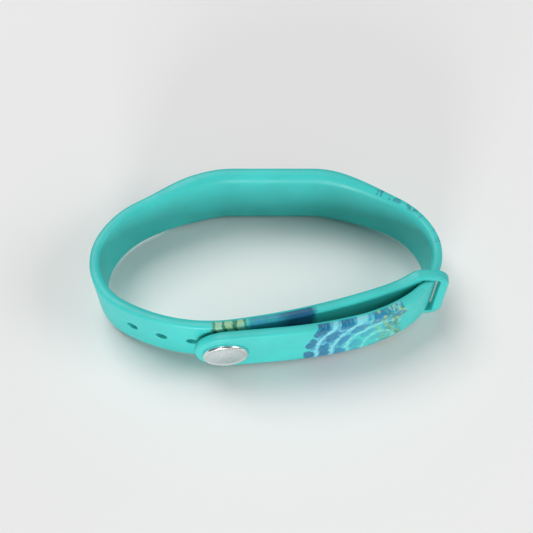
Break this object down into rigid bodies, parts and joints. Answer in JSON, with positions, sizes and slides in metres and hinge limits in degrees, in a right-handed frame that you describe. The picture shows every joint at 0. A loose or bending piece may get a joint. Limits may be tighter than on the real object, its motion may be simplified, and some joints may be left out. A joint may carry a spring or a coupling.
{
  "type": "fitness tracker band",
  "caption": "Buckled silicone wristband with a stud-and-hole clasp, a keeper loop and a domed tracker capsule in its outer pocket.",
  "frame": {"origin": "middle of the buckled band's footprint, on the plane that its lower edge stands on", "axes": "+X along the long way across the buckled band, towards the keeper loop; +Y from the clasp to the tracker pocket; +Z across the band's width, upwards"},
  "size_m": [0.0756, 0.0452, 0.0168],
  "materials": {
    "silicone": "satin",
    "stud_metal": "polished",
    "housing_black": "satin",
    "lens_black": "gloss",
    "seal_rubber": "matte",
    "adhesive": "matte",
    "copper_film": "satin",
    "display_glass": "gloss",
    "white_plastic": "matte",
    "flex_amber": "satin",
    "board_green": "satin",
    "chip_black": "matte",
    "shield_metal": "satin",
    "battery_foil": "satin",
    "foam": "matte",
    "motor_steel": "satin",
    "rotor_weight": "satin",
    "contact_gold": "polished"
  },
  "bodies": {
    "band": {"band_pocket": "silicone", "hole_strap": "silicone", "keeper_loop": "silicone", "stud_strap": "silicone"},
    "stud_tip": {"stud_strap_tip": "silicone", "stud_cap": "stud_metal", "stud_post": "stud_metal"},
    "capsule": {"lower_housing": "housing_black", "upper_housing": "housing_black", "housing_seal": "seal_rubber", "lens": "lens_black", "lens_adhesive": "adhesive", "touch_pad": "copper_film", "display_panel": "display_glass", "display_frame": "white_plastic", "display_flex": "flex_amber", "main_board": "board_green", "processor_chip": "chip_black", "shield_can": "shield_metal", "accelerometer_chip": "chip_black", "charger_chip": "chip_black", "crystal": "shield_metal", "antenna": "copper_film", "battery": "battery_foil", "battery_tape": "foam", "motor_case": "motor_steel", "motor_cover": "motor_steel", "motor_shaft": "motor_steel", "charging_contacts": "contact_gold", "contact_springs": "contact_gold"},
    "rotor": {"motor_rotor": "rotor_weight"}
  },
  "joints": [
    {"name": "stud_strap_peel", "type": "hinge", "parent": "band", "child": "stud_tip", "pos_m": [0.01098, -0.01811, 0.0084], "axis": [0, 0, 1], "range_deg": [0, 55]},
    {"name": "capsule_release", "type": "slide", "parent": "band", "child": "capsule", "axis": [0, 1, 0], "range_m": [0, 0.012]},
    {"name": "vibration_motor_spin", "type": "hinge", "parent": "capsule", "child": "rotor", "pos_m": [0.01032, 0.01832, 0.0084], "axis": [0, 1, 0], "continuous": true}
  ]
}
